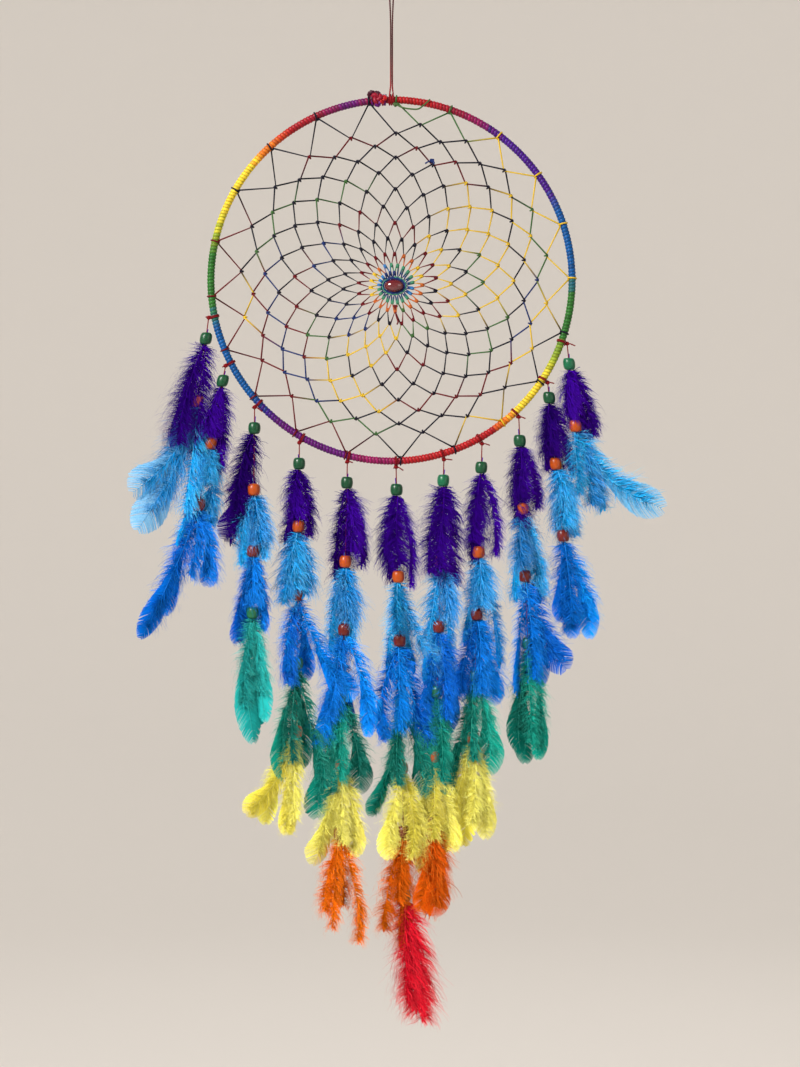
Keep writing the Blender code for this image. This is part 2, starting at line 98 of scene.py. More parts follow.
# Strand cord and barrel beads, as in the solids, with the cord's lay, its end below the last bead and its reds
STRAND_CORD = 1.1 * MM
STRAND_LAY = 3.5 * MM
CORD_END = 6 * MM
STRAND_RED, KNOT_RED = (0.17, 0.004, 0.007), (0.20, 0.004, 0.007)
BEAD_LENGTH = 10.2 * MM
BEAD_RADIUS = 5.3 * MM

# Strands, as in the solids: lean, and drops in millimetres to the first bead, to the second and between others
STRANDS = (
    (-0.13, 18.0, 54.0, 54.0),
    (-0.19, 13.0, 54.0, 53.0),
    (-0.01, 18.0, 53.0, 53.0),
    (-0.01, 18.0, 54.0, 59.0),
    (-0.02, 18.0, 68.0, 58.7),
    (0.02, 19.5, 75.0, 55.0),
    (-0.03, 18.0, 70.0, 56.0),
    (-0.03, 20.5, 73.0, 53.5),
    (0.04, 20.5, 58.7, 58.0),
    (0.10, 13.0, 57.0, 62.0),
    (0.10, 17.5, 53.5, 53.5),
)

# The knot under a tie: its loops' turns about the cord, their radius, and the cord's there
KNOT_SPINS = (0.0, 2.1, 4.2)
KNOT_LOOP, KNOT_RADIUS = 1.25 * MM, 0.75 * MM

# A tie: turns round the hoop, their pitch and clearance, and its two cut ends' reach in millimetres
TIE_TURNS = 2.0
TIE_PITCH = 1.15 * MM
TIE_GAP = 0.55 * MM
LONG_END, SHORT_END = (4.5, 7.5), (1.5, 3.0)
END_RADIUS, END_LAY = 0.6 * MM, 3 * MM

# Outline of a barrel bead's lower half from its bore, as shares of half its length and of its radius
BARREL = ((-0.80, 0.20), (-0.98, 0.24), (-1.0, 0.56), (-0.95, 0.72), (-0.76, 0.88), (-0.38, 0.98), (0, 1.0))

# How far each tuft hangs below its bead, in millimetres, strand by strand
TUFT_LENGTHS = (
    (97, 95),
    (79, 67, 105),
    (99, 63, 79, 109),
    (66, 64, 76, 109, 84),
    (85, 78, 101, 103, 78, 93),
    (81, 101, 88, 103, 86, 101, 104),
    (87, 105, 90, 85, 82, 78),
    (80, 78, 82, 93, 97),
    (69, 79, 99, 102),
    (66, 62, 87),
    (62, 80),
)

# Tufts with feathers of their own direction: sideways and downward reach of each tip in millimetres
SWEPT_TUFTS = {
    (0, 0): ((-16, 93), (3, 97), (-8, 84), (-10, 88)),
    (0, 1): ((-46, 76), (-37, 108), (-18, 88)),
    (1, 1): ((-11, 84), (13, 66), (9, 72), (4, 28)),
    (1, 2): ((-32, 109), (20, 66), (-12, 92)),
    (2, 0): ((-20, 97), (-26, 92), (-15, 84), (-13, 70)),
    (3, 2): ((52, 84), (-8, 72), (8, 70)),
    (3, 3): ((32, 109), (-12, 96), (4, 88)),
    (3, 4): ((-44, 66), (-8, 84), (-24, 78)),
    (4, 2): ((-17, 98), (22, 88), (4, 84)),
    (4, 3): ((-20, 100), (16, 78), (-2, 70)),
    (4, 4): ((-26, 80), (13, 74), (-2, 66)),
    (4, 5): ((-11, 64), (17, 90), (4, 60)),
    (5, 1): ((-10, 85), (56, 98), (10, 80)),
    (5, 2): ((-16, 82), (26, 85), (2, 74)),
    (5, 3): ((-27, 92), (18, 76), (-4, 70)),
    (5, 4): ((-12, 74), (18, 86), (2, 78)),
    (5, 5): ((-18, 81), (-5, 97), (0, 60), (-4, 54)),
    (5, 6): ((6, 96), (13, 104), (9, 101)),
    (6, 4): ((-8, 66), (12, 78), (2, 72)),
    (6, 5): ((-6, 73), (5, 76), (0, 78), (0, 42)),
    (7, 1): ((-9, 76), (20, 96), (4, 82)),
    (7, 2): ((-10, 66), (16, 74), (2, 70)),
    (7, 3): ((-29, 98), (15, 80), (-4, 76)),
    (7, 4): ((-20, 97), (15, 82), (-6, 90)),
    (8, 2): ((34, 76), (-11, 99), (6, 94)),
    (10, 1): ((72, 66), (9, 64), (20, 68)),
}

# Feathers by tier: the darkest colour, the brightest, the tips of the down (their paler colour, which also
# serves as a painted highlight), the share that is closed vane, how wide that vane is, and how much of it is
# split
TIERS = (
    ("purple", (0.009, 0.0005, 0.095), (0.036, 0.001, 0.280), (0.095, 0.008, 0.440), 0.20, 0.45, 0.95),
    ("light_blue", (0.002, 0.190, 0.640), (0.004, 0.440, 0.950), (0.330, 0.720, 0.950), 0.26, 0.70, 0.7),
    ("blue", (0.001, 0.075, 0.540), (0.002, 0.270, 0.950), (0.050, 0.400, 0.950), 0.38, 1.25, 0.25),
    ("green", (0.001, 0.050, 0.038), (0.006, 0.360, 0.270), (0.110, 0.640, 0.500), 0.50, 1.35, 0.2),
    ("yellow", (0.780, 0.680, 0.060), (0.950, 0.900, 0.170), (0.950, 0.920, 0.460), 0.52, 1.20, 0.35),
    ("orange", (0.580, 0.050, 0.001), (0.910, 0.180, 0.004), (0.920, 0.320, 0.035), 0.26, 0.85, 0.7),
    ("red", (0.420, 0.001, 0.007), (0.800, 0.007, 0.027), (0.780, 0.070, 0.090), 0.06, 0.50, 0.9),
)

# Where a tier's row holds the colour of the tips and the form, three tiers that are treated apart, and how much
# of the down's random tone and painted shade the yellow one keeps
EDGE = 3
FORM = slice(4, None)
LIGHT_BLUE_TIER, YELLOW_TIER, RED_TIER = 1, 4, 6
YELLOW_CONTRAST = 0.55

# One tuft is turquoise, and the light blue vanes that stand out sideways are faded
TURQUOISE_TUFT = (2, 3)
TURQUOISE = ((0.004, 0.200, 0.190), (0.020, 0.460, 0.450))
FADED = (0.240, 0.460, 0.620)
FADED_SHARE = 0.7

# Other forms, as the last three values of a tier, the tufts that have them, and how far each tier's down
# stands out
SOFT_FORM = (0.15, 0.6, 0.8)
SWEPT_FORM = (0.42, 1.6, 0.15)
FLAG_FORM = (0.42, 1.8, 0.10)
THIN_FORM = (0.10, 0.25, 0.95)
BROAD_TUFTS = ((3, 4), (4, 3), (4, 4), (5, 3), (5, 4), (6, 4), (6, 5), (7, 3), (7, 4))
THIN_TUFTS = ((4, 5),)
FLUFF = (1.0, 1.0, 0.88, 0.72, 0.70, 0.9, 1.0)

# Layers of a feather's down: barbs, their thickness, and their reach as a share of the feather's width
DOWN_LAYERS = ((300, 0.55 * MM, 1.75), (390, 0.28 * MM, 2.15), (210, 0.14 * MM, 2.75))

# Clearance of a tuft below its bead
TUFT_GAP = 0.3 * MM

# A tuft's feathers: where each sits and how far behind the cord its root lies, in millimetres. Their tips lie
# deeper where the next bead shows below them
PLACES = (("side", -0.5), ("side", -0.5), ("behind", 1.4), ("front", -1.4))
BEAD_SHOWS_DEPTHS, BEAD_HIDDEN_DEPTHS = (1.5, 1.5, 7.5, -7.0), (-4.0, -4.0, 7.5, -10.0)

# A feather that reaches further sideways than this, in millimetres, stands out and bends up to its tip
FLICK_REACH = 25

# Tufts below which a bead shows: those of the first tiers, apart from some, and one lower down
SHOWN_BEADS = 2
LOW_SHOWN_BEAD = (2, 2)
HIDDEN_BEADS = ((0, 0), (6, 0), (3, 1))

# Bead colours by tier, repeating, and the greens that are lighter: the fourth tier and two of the first
BEAD_COLOURS = ((0.004, 0.060, 0.022), (0.400, 0.060, 0.003), (0.130, 0.010, 0.006))
FOURTH_TIER, FOURTH_LIGHTER = 3, (2.4, 2.0, 2.2)
LIGHT_FIRST_BEADS, FIRST_LIGHTER = (6, 10), (1.2, 1.9, 2.2)

# Wrap colours by degrees clockwise from the top
RED, CRIMSON, MAGENTA = (0.36, 0.007, 0.010), (0.22, 0.005, 0.020), (0.22, 0.006, 0.075)
PLUM = (0.040, 0.002, 0.012)
PURPLE, VIOLET, INDIGO = (0.095, 0.004, 0.13), (0.050, 0.006, 0.19), (0.018, 0.008, 0.17)
BLUE, GREEN, LIME = (0.001, 0.075, 0.27), (0.022, 0.13, 0.018), (0.26, 0.34, 0.02)
YELLOW, ORANGE = (0.75, 0.55, 0.03), (0.70, 0.17, 0.01)
WRAP_COLOURS = (
    (0, RED), (12, RED), (20, CRIMSON), (28, MAGENTA), (36, VIOLET), (60, VIOLET), (68, BLUE), (88, BLUE),
    (94, GREEN), (108, GREEN), (115, LIME), (124, YELLOW), (136, YELLOW), (141, ORANGE), (146, RED),
    (175, RED), (182, MAGENTA), (190, MAGENTA), (196, PURPLE), (217, PURPLE), (224, INDIGO), (231, BLUE),
    (255, BLUE), (261, GREEN), (278, GREEN), (285, LIME), (294, YELLOW), (309, YELLOW), (315, ORANGE),
    (325, RED), (336, CRIMSON), (347, PURPLE), (355, CRIMSON), (360, RED),
)

# The wrap's ends: turns that bind them, by degrees from the top, then overhand knots, by their place from the
# ring's top, colour, size and thickness, and a tail, in millimetres
BINDING_TURNS = ((-6.4, PURPLE), (-5.6, CRIMSON), (-3.2, CRIMSON), (-2.5, PURPLE))
BINDING_GAP, BINDING_RADIUS = 0.8 * MM, 1.0 * MM
BINDING_ADVANCE = 0.012
WRAP_KNOTS = (
    ((-15.0, -2.4, 2.6), PLUM, 1.5, 2.1),
    ((-12.6, -4.4, 0.6), CRIMSON, 1.3, 1.9),
    ((-11.8, -3.6, -3.0), PURPLE, 0.9, 1.6),
    ((-8.0, -4.0, 0.0), RED, 1.0, 1.6),
)
WRAP_TAIL, WRAP_TAIL_RADIUS = ((-7.0, -5, 0), (-5.5, -5.2, 0.4), (-4.0, -4.9, 0.2)), 1.5 * MM
WRAP_PLIES = {"sides": 10, "plies": 3, "lay": 5 * MM}

# Web thread colours, and the radii at which the star round the bead changes its own
NIGHT, NAVY, WINE = (0.005, 0.005, 0.014), (0.008, 0.022, 0.11), (0.11, 0.003, 0.007)
GOLD, LEAF, PALE = (0.58, 0.38, 0.02), (0.04, 0.11, 0.03), (0.05, 0.22, 0.12)
RUST, SKY, MOSS = (0.42, 0.10, 0.02), (0.03, 0.16, 0.40), (0.055, 0.11, 0.035)
STAR_HEART, STAR_INNER, STAR_OUTER, STAR_EDGE = 11.5 * MM, 18.5 * MM, 27 * MM, 40 * MM
WEB_RIM = 100 * MM

# The thread's loose ends and its knots, in millimetres
START_TAIL = (
    (3.1, -4.0, -116.5),
    (10.3, -4.6, -119.9),
    (21.6, -5.0, -121.2),
    (26.8, -5.2, -118.5),
    (33.1, -4.4, -112.6),
)
WEB_TAILS = (
    (START_TAIL, MOSS),
    (((34.9, -0.8, -164.7), (32.0, -1.8, -165.6), (28.9, -1.6, -167.3)), NAVY),
    (((34.9, -0.8, -164.7), (36.6, -1.8, -166.2), (36.2, -1.6, -167.8)), NAVY),
    (((3.2, -0.8, -292), (4.0, -1.4, -298), (5.6, -1.8, -303.5), (4.6, -1.6, -306)), WINE),
)
WEB_KNOTS = (((34.9, -0.8, -164.6), NAVY), ((3.3, -4.0, -117.0), MOSS), ((3.4, -0.6, -290.5), WINE))
WEB_TAIL_RADIUS = 0.7 * MM
WEB_KNOT_SIZE = 0.5 * MM

# Camera: the photograph's frame in the plane of the hoop
FRAME_CENTRE = np.array([7.3, 0, -486]) * MM
FRAME_HEIGHT = 920 * MM
CAMERA_DISTANCE = 1.75

# Floor: its flat part, the wall's radius, the curve between them and the wall's height, in metres
FLOOR_DEPTH = -1.5
FLOOR_FLAT, WALL_RADIUS, FLOOR_CURVE, WALL_HEIGHT = 2.0, 5.0, 1.5, 6.0
FLOOR_SIDES = 96
FLOOR_GLOW, FLOOR_GLOW_COLOUR = 0.56, (0.73, 0.67, 0.60, 1)
FLOOR_LIT, FLOOR_SEEN = (0.78, 0.74, 0.70, 1), (0.35, 0.332, 0.315, 1)

# Sockets of a colour mix, which share their names with those of its other kinds
MIX_SHARE, MIX_FIRST, MIX_SECOND, MIX_RESULT = 0, 6, 7, 2

# World light, and lamps: place, size, power and colour
WORLD_COLOUR, WORLD_STRENGTH = (1.0, 0.97, 0.93, 1), 0.30
LIGHTS = (
    ("key", (-1.9, -2.0, 1.1), 1.0, 145, (1.0, 0.98, 0.95)),
    ("fill", (2.1, -1.8, 0.1), 1.8, 12, (1.0, 0.97, 0.94)),
    ("back", (0.6, 2.4, 1.2), 1.8, 30, (1.0, 0.98, 0.96)),
)


# Materials

def principled(name, roughness, grain, vary, bump=0.2, **sockets):
    """A material whose colour comes from the piece's own tint, varied by fine noise."""
    made = bpy.data.materials.new(name)
    made.use_nodes = True
    nodes, links = made.node_tree.nodes, made.node_tree.links
    shader = nodes["Principled BSDF"]
    tint = nodes.new("ShaderNodeAttribute")
    tint.attribute_name = "tint"
    noise = nodes.new("ShaderNodeTexNoise")
    noise.inputs["Scale"].default_value = grain
    noise.inputs["Detail"].default_value = 4.0
    span = nodes.new("ShaderNodeMapRange")
    span.inputs["To Min"].default_value = 1 - vary
    span.inputs["To Max"].default_value = 1 + vary
    mixed = nodes.new("ShaderNodeVectorMath")
    mixed.operation = "SCALE"
    relief = nodes.new("ShaderNodeBump")
    relief.inputs["Strength"].default_value = bump
    relief.inputs["Distance"].default_value = 0.1 * MM
    place = nodes.new("ShaderNodeTexCoord")
    links.new(place.outputs["Object"], noise.inputs["Vector"])
    links.new(noise.outputs["Fac"], span.inputs["Value"])
    links.new(tint.outputs["Color"], mixed.inputs[0])
    links.new(span.outputs["Result"], mixed.inputs["Scale"])
    links.new(mixed.outputs["Vector"], shader.inputs["Base Color"])
    links.new(noise.outputs["Fac"], relief.inputs["Height"])
    links.new(relief.outputs["Normal"], shader.inputs["Normal"])
    shader.inputs["Roughness"].default_value = roughness
    for socket, value in sockets.items():
        shader.inputs[socket.replace("_", " ")].default_value = value
    return made


FEATHER = principled("feather", 0.7, grain=500.0, vary=0.18, bump=0.1, Specular_IOR_Level=0.02)
SATIN = principled("satin_cord", 0.40, grain=1800.0, vary=0.22, bump=0.25, Specular_IOR_Level=0.2)
CORD = principled("cotton_cord", 0.6, grain=2500.0, vary=0.35, bump=0.35, Specular_IOR_Level=0.15)
THREAD = principled("waxed_thread", 0.5, grain=3000.0, vary=0.35, bump=0.3, Specular_IOR_Level=0.15)
PAINTED_WOOD = principled("painted_wood", 0.30, grain=350.0, vary=0.35, bump=0.15, Specular_IOR_Level=0.35)
LACQUER = principled("lacquered_bead", 0.12, grain=200.0, vary=0.3, bump=0.03, Coat_Weight=1.0)


# Meshes

def build(name, verts, quads, colours, finish, body, replaced=()):
    """A mesh piece with a tint at each point, riding on its body."""
    mesh = bpy.data.meshes.new(name)
    verts = np.ascontiguousarray(verts, dtype=np.float32).reshape(-1, 3)
    quads = np.ascontiguousarray(quads, dtype=np.int32).reshape(-1, 4)
    mesh.vertices.add(len(verts))
    mesh.vertices.foreach_set("co", verts.ravel())
    mesh.loops.add(quads.size)
    mesh.loops.foreach_set("vertex_index", quads.ravel())
    mesh.polygons.add(len(quads))
    mesh.polygons.foreach_set("loop_start", np.arange(0, quads.size, 4, dtype=np.int32))
    mesh.update(calc_edges=True)
    tint = mesh.attributes.new("tint", "FLOAT_COLOR", "POINT")
    rgba = np.ones((len(verts), 4), dtype=np.float32)
    rgba[:, :3] = colours
    tint.data.foreach_set("color", rgba.ravel())
    mesh.shade_smooth()
    mesh.materials.append(finish)
    piece = bpy.data.objects.new(name, mesh)
    bpy.context.scene.collection.objects.link(piece)
    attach(piece, body)
    if replaced:
        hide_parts(*replaced)
    return piece


def unit(vectors):
    """Vectors at a length of one."""
    return vectors / np.maximum(np.linalg.norm(vectors, axis=-1, keepdims=True), 1e-12)


def path_frames(path):
    """Tangents of a path, with two crosswise directions carried along it without twist."""
    tangents = unit(np.gradient(path, axis=0))
    side = np.cross(tangents[0], [0.31, 0.87, 0.37])
    sides = []
    for tangent in tangents:
        side = unit(side - tangent * (side @ tangent))
        sides.append(side)
    sides = np.array(sides)
    return sides, np.cross(tangents, sides)


def grid_quads(rows, columns):
    """Quads of a grid of points whose columns close on themselves."""
    row, column = np.meshgrid(np.arange(rows - 1), np.arange(columns), indexing="ij")
    nearby = (column + 1) % columns
    here, below = row * columns, (row + 1) * columns
    return np.stack([here + column, here + nearby, below + nearby, below + column], axis=-1).reshape(-1, 4)


def sweep(path, radius, sides=8, plies=0, lay=6 * MM):
    """A tube along a path, closed by tapered ends, with twisted plies where asked."""
    path = np.asarray(path, dtype=float)
    one, two = path_frames(path)
    along = np.concatenate([[0], np.cumsum(np.linalg.norm(np.diff(path, axis=0), axis=1))])
    turn = np.linspace(0, 2 * math.pi, sides, endpoint=False)
    radii = np.broadcast_to(np.asarray(radius, dtype=float), len(path))[:, None] * np.ones(sides)
    if plies:
        twist = turn[None, :] - 2 * math.pi * along[:, None] / lay
        radii = radii * (0.74 + 0.26 * np.abs(np.cos(plies / 2 * twist)))
    ring = np.cos(turn)[None, :, None] * one[:, None] + np.sin(turn)[None, :, None] * two[:, None]
    verts = path[:, None] + radii[..., None] * ring
    first, last = path[:1, None].repeat(sides, 1), path[-1:, None].repeat(sides, 1)
    verts = np.concatenate([first + 0.05 * (verts[:1] - first), verts, last + 0.05 * (verts[-1:] - last)])
    return verts.reshape(-1, 3), grid_quads(len(path) + 2, sides)


def smooth(points, count):
    """Evenly spaced points on a smooth curve through the route's own points."""
    points = np.asarray(points, dtype=float)
    ends = np.vstack([2 * points[0] - points[1], points, 2 * points[-1] - points[-2]])
    t = np.linspace(0, 1, 12, endpoint=False)[:, None]
    spans = []
    for before, start, end, after in zip(ends, ends[1:], ends[2:], ends[3:]):
        pull = (end - before) * (t**3 - 2 * t**2 + t) / 2 + (after - start) * (t**3 - t**2) / 2
        spans.append(start * (2 * t**3 - 3 * t**2 + 1) + end * (3 * t**2 - 2 * t**3) + pull)
    dense = np.vstack([*spans, points[-1:]])
    along = np.concatenate([[0], np.cumsum(np.linalg.norm(np.diff(dense, axis=0), axis=1))])
    wanted = np.linspace(0, along[-1], count)
    return np.stack([np.interp(wanted, along, dense[:, axis]) for axis in range(3)], axis=1)


def joined(parts):
    """Point lists and quads of several shapes as one."""
    verts, quads, start = [], [], 0
    for points, faces in parts:
        verts.append(points)
        quads.append(faces + start)
        start += len(points)
    return np.vstack(verts), np.vstack(quads)


def spread_tints(parts, tints):
    """Colours of several shapes as one list: each shape has one colour, or one for each of its points."""
    return np.vstack([np.broadcast_to(tint, points.shape) for (points, _), tint in zip(parts, tints)])


def hoop_point(angle, radius, out=0.0):
    """A point by its angle clockwise from the hoop's top, its radius and its place front to back."""
    return HOOP_CENTRE + [radius * math.sin(angle), out, radius * math.cos(angle)]


# Hoop wrap

def make_wrap():
    """The wound cover as one helical surface, a rounded ridge for each turn."""
    steps, sides = WRAP_TURNS * 8, 16
    angle = np.linspace(0, 2 * math.pi, steps, endpoint=False)[:, None]
    spin = np.linspace(0, 2 * math.pi, sides, endpoint=False)[None, :]
    random = np.random.default_rng(WRAP_SEED)
    phase = WRAP_TURNS * angle / (2 * math.pi) + spin / (2 * math.pi)
    turn_number = np.floor(phase).astype(int) % WRAP_TURNS
    swell = random.normal(1.0, 0.12, WRAP_TURNS)[turn_number]
    ridge = np.sqrt(np.maximum(0, 1 - (2 * (phase % 1) - 1) ** 2))
    radius = WRAP_RADIUS - WRAP_GROOVE * np.clip(1 - ridge * np.minimum(swell, 1.0), 0, 1)
    outward = RING_RADIUS + radius * np.cos(spin)
    verts = np.stack([outward * np.sin(angle), radius * np.sin(spin), outward * np.cos(angle)], axis=-1)
    verts = verts + HOOP_CENTRE
    quads = grid_quads(steps + 1, sides) % (steps * sides)
    stops = [stop for stop, _ in WRAP_COLOURS]
    degrees = (np.degrees(angle) + random.normal(0, 1.0, WRAP_TURNS)[turn_number]) % 360
    dyes = np.array([colour for _, colour in WRAP_COLOURS])
    colours = np.stack([np.interp(degrees, stops, dyes[:, k]) for k in range(3)], axis=-1)
    # Each turn's dye varies at random, and the colour darkens into the grooves between the turns: painted
    # shade.
    colours *= random.normal(1.0, 0.10, WRAP_TURNS)[turn_number][..., None] * (0.3 + 0.7 * ridge[..., None])
    build("wrap_turns", verts, quads, colours.reshape(-1, 3), SATIN, "hoop", ["hoop_wrap"])


def trefoil(size, count):
    """A closed overhand knot about the origin."""
    t = np.linspace(0, 2 * math.pi, count)
    line = [np.sin(t) + 2 * np.sin(2 * t), -0.8 * np.sin(3 * t), np.cos(t) - 2 * np.cos(2 * t)]
    return np.stack(line, axis=1) * size


def make_wrap_knot():
    """The wrap's two ends: overhand knots left of the hitch, bound round the hoop."""
    parts, tints = [], []
    turn = np.linspace(0, 2 * math.pi, 28)
    rise = WRAP_RADIUS + BINDING_GAP
    for start, tint in BINDING_TURNS:
        angle = math.radians(start) + BINDING_ADVANCE * turn / (2 * math.pi)
        ring = [(RING_RADIUS + rise * math.cos(t), -rise * math.sin(t)) for t in turn]
        path = [hoop_point(a, radius, out) for a, (radius, out) in zip(angle, ring)]
        parts.append(sweep(path, BINDING_RADIUS, **WRAP_PLIES))
        tints.append(tint)
    for place, tint, size, thick in WRAP_KNOTS:
        knot = trefoil(size * MM, 72) + RING_TOP + np.array(place) * MM
        parts.append(sweep(knot, thick * MM, **WRAP_PLIES))
        tints.append(tint)
    tail = smooth(RING_TOP + np.array(WRAP_TAIL) * MM, 16)
    parts.append(sweep(tail, WRAP_TAIL_RADIUS, **WRAP_PLIES))
    tints.append(RED)
    verts, quads = joined(parts)
    build("wrap_ends", verts, quads, spread_tints(parts, tints), SATIN, "hoop", ["wrap_knot"])


# Hanger

def make_hanger():
    """The doubled cord from the hitch over the nail, and the hitch round the hoop."""
    reach = WRAP_RADIUS + HITCH_GAP + HANGER_CORD / 2
    bight = NAIL_RADIUS + HANGER_CORD / 2
    foot = HITCH_TOP + HITCH_GAP
    # The left leg from the hitch up: it draws in, runs beside the other and parts from it towards the nail
    left = [
        (-HITCH_NECK, -reach, foot),
        (-1.0 * MM, -reach * 0.9, foot + 1.5 * MM),
        (-0.75 * MM, -reach * 0.6, foot + 4 * MM),
        (-HANGER_LEG, -reach * 0.3, foot + 8 * MM),
        (-HANGER_LEG, -0.3 * MM, foot + 20 * MM),
        (-HANGER_LEG, -0.1 * MM, -70 * MM),
        (-HANGER_LEG, 0, -55 * MM),
        (-0.8 * MM, 0, -43 * MM),
        (-1.5 * MM, 0, -26 * MM),
        (-2.4 * MM, 0, -11 * MM),
    ]
    over = [(-bight * math.cos(t), 0, bight * math.sin(t) - NAIL_RADIUS) for t in np.linspace(0, math.pi, 7)]
    right = [(-x, -y, z) for x, y, z in reversed(left)]
    path = smooth([*left, *over, *right], 420)
    verts, quads = sweep(path, HANGER_CORD / 2, sides=12, plies=2, lay=HANGER_LAY)
    near = np.clip((verts[:, 2:] - HANGER_DARK_ABOVE) / (foot - HANGER_DARK_ABOVE), 0, 1)
    tint = (1 - near) * np.array(HANGER_DARK) + near * np.array(HANGER_RED)
    piece = build("hanging_cord", verts, quads, tint, CORD, "hanger", ["hanger_loop"])

    turns = np.linspace(0, HITCH_TURNS, 100)
    spin = 2 * math.pi * turns
    across = HITCH_PITCH * (turns - HITCH_TURNS / 2)
    coil = np.stack([across, -reach * np.cos(spin), -reach * np.sin(spin)], axis=1) + RING_TOP
    lift = np.array([0, 0, HITCH_TOP - RING_TOP[2]])
    fade = np.linspace(1, 0.1, 6)[:, None]
    ends = fade * lift
    draw = fade * [HITCH_PITCH * HITCH_TURNS / 2 - HITCH_NECK, 0, 0]
    path = np.vstack([coil[0] + ends + draw, coil, coil[-1] + (ends - draw)[::-1]])
    verts, quads = sweep(path, HANGER_CORD / 2, sides=12, plies=2, lay=HANGER_LAY)
    build("hitch_cord", verts, quads, HANGER_RED, CORD, "hitch", ["hanger_hitch"])


# Web

def web_node(number):
    """Where the thread's hitch of this number lies, from the hoop's centre, and its angle from the top."""
    outer = RING_RADIUS - WRAP_RADIUS - WEB_THREAD
    row = number / WEB_PER_ROW
    share = 1.0 if number <= WEB_ANCHORS else np.interp(row, range(len(WEB_SHARES)), WEB_SHARES)
    radius = WEB_INNER + (outer - WEB_INNER) * share
    angle = WEB_START + 2 * math.pi * number / WEB_PER_ROW
    place = np.array([radius * math.sin(angle), 0, radius * math.cos(angle)]) + WEB_CENTRE * (1 - share)
    return place, angle


def hoop_loop(outward, forward):
    """The thread's turn round the hoop."""
    rise = WRAP_RADIUS + LOOP_GAP
    points = []
    for turn in np.linspace(-0.15, 1.1, 16):
        spin = 2 * math.pi * turn
        loop = outward * (RING_RADIUS - rise * math.cos(spin)) + forward * LOOP_ADVANCE * (turn - 0.5)
        points.append(loop + [0, -rise * math.sin(spin), 0])
    return points


def self_hitch(here, outward, forward):
    """The thread's turn round its own last row."""
    points = []
    for turn in np.linspace(-0.2, 1.1, 9):
        spin = 2 * math.pi * turn
        loop = here + outward * (HITCH_OUT + HITCH_RISE * math.cos(spin))
        points.append(loop + forward * HITCH_ADVANCE * (turn - 0.5) + [0, HITCH_RISE * math.sin(spin), 0])
    return points


def make_web():
    """One thread: looped over the hoop, then half-hitched on its own last row, in to the bead."""
    random = np.random.default_rng(WEB_SEED)
    last = round(WEB_PER_ROW * (len(WEB_SHARES) - 1))
    points, tints = [], []
    colour, left = NIGHT, 0
    for number in range(last + 1):
        here, angle = web_node(number)
        radius = np.linalg.norm(here - WEB_CENTRE)
        outward = np.array([math.sin(angle), 0, math.cos(angle)])
        forward = np.array([math.cos(angle), 0, -math.sin(angle)])
        if left <= 0:
            colour, left = web_colour(number, math.degrees(angle) % 360, radius, random)
        left -= 1
        on_hoop = number <= WEB_ANCHORS
        points += hoop_loop(outward, forward) if on_hoop else self_hitch(here, outward, forward)
        tints += [colour] * (len(points) - len(tints))
        pulled = number + WEB_ANCHORS + 1
        if pulled <= last:
            points.append(web_node(pulled)[0])
            tints.append(colour)
        else:
            after = web_node(min(number + 1, last))[0]
            between = angle + math.pi / WEB_PER_ROW
            ring = BEAD_HALF + DIP_GAP
            dip = WEB_CENTRE + [ring[0] * math.sin(between), DIP_OUT, ring[1] * math.cos(between)]
            points += [here * 0.45 + dip * 0.55, dip, dip * 0.55 + after * 0.45]
            tints += [NAVY] * 3
    inward = np.linspace(0, 1, 72)
    for share, spin in zip(inward, 2 * math.pi * BEAD_WINDS * inward):
        ring = BEAD_HALF + (0.5 + 1.7 * (1 - share)) * MM
        out = 0.5 * MM * math.sin(7 * spin)
        points.append(WEB_CENTRE + [ring[0] * math.sin(spin), out, ring[1] * math.cos(spin)])
        tints.append(NAVY if share > 0.25 else PALE)
    points += [WEB_CENTRE + [x * BEAD_HALF[0], 0, 0] for x in (-0.9, -0.5, 0.4)]
    tints += [NAVY] * 3
    path = np.array(points) + HOOP_CENTRE
    parts = [sweep(path, WEB_THREAD / 2, WEB_SIDES)]
    shades = [np.repeat(np.vstack([tints[:1], tints, tints[-1:]]), WEB_SIDES, axis=0)]
    for route, colour in WEB_TAILS:
        parts.append(sweep(smooth(np.array(route) * MM, 6 * len(route)), WEB_TAIL_RADIUS, WEB_SIDES))
        shades.append(colour)
    for place, colour in WEB_KNOTS:
        parts.append(sweep(trefoil(WEB_KNOT_SIZE, 40) + np.array(place) * MM, WEB_TAIL_RADIUS, WEB_SIDES))
        shades.append(colour)
    verts, quads = joined(parts)
    build("web_thread", verts, quads, spread_tints(parts, shades), THREAD, "hoop", ["web_net"])


def web_colour(number, degrees, radius, random):
    """Colour of the dyed thread from a hitch onwards, and for how many hitches it lasts."""
    if number <= 1:
        return LEAF, 1
    if number <= WEB_ANCHORS:
        if 30 < degrees < 92:
            return GOLD, 1
        if 125 < degrees < 150:
            return (GOLD, 1) if random.random() < 0.5 else (WINE, 1)
        if 190 < degrees < 285:
            return (WINE, 2) if random.random() < 0.7 else (GOLD, 1)
        return NIGHT, 2
    if radius < STAR_HEART:
        return NAVY, 3
    if radius < STAR_INNER:
        return (PALE, 2) if random.random() < 0.7 else (SKY, 1)
    if radius < STAR_OUTER:
        if 75 < degrees < 235:
            return (RUST, 2) if random.random() < 0.6 else (LEAF, 1)
        return (GOLD, 2) if random.random() < 0.7 else (RUST, 1)
    if radius < STAR_EDGE:
        return (WINE, 3) if random.random() < 0.6 else (NIGHT, 2)
    chance = random.random()
    if 20 < degrees < 100 and chance < 0.28 or 150 < degrees < 200 and chance < 0.3:
        return GOLD, 2
    if 200 < degrees < 260 and radius > WEB_RIM and chance < 0.5:
        return (WINE, 2) if chance < 0.36 else (GOLD, 1)
    if chance < 0.52:
        return NIGHT, 3
    if chance < 0.74:
        return WINE, 2
    return (NAVY, 2) if chance < 0.89 else (LEAF, 2)


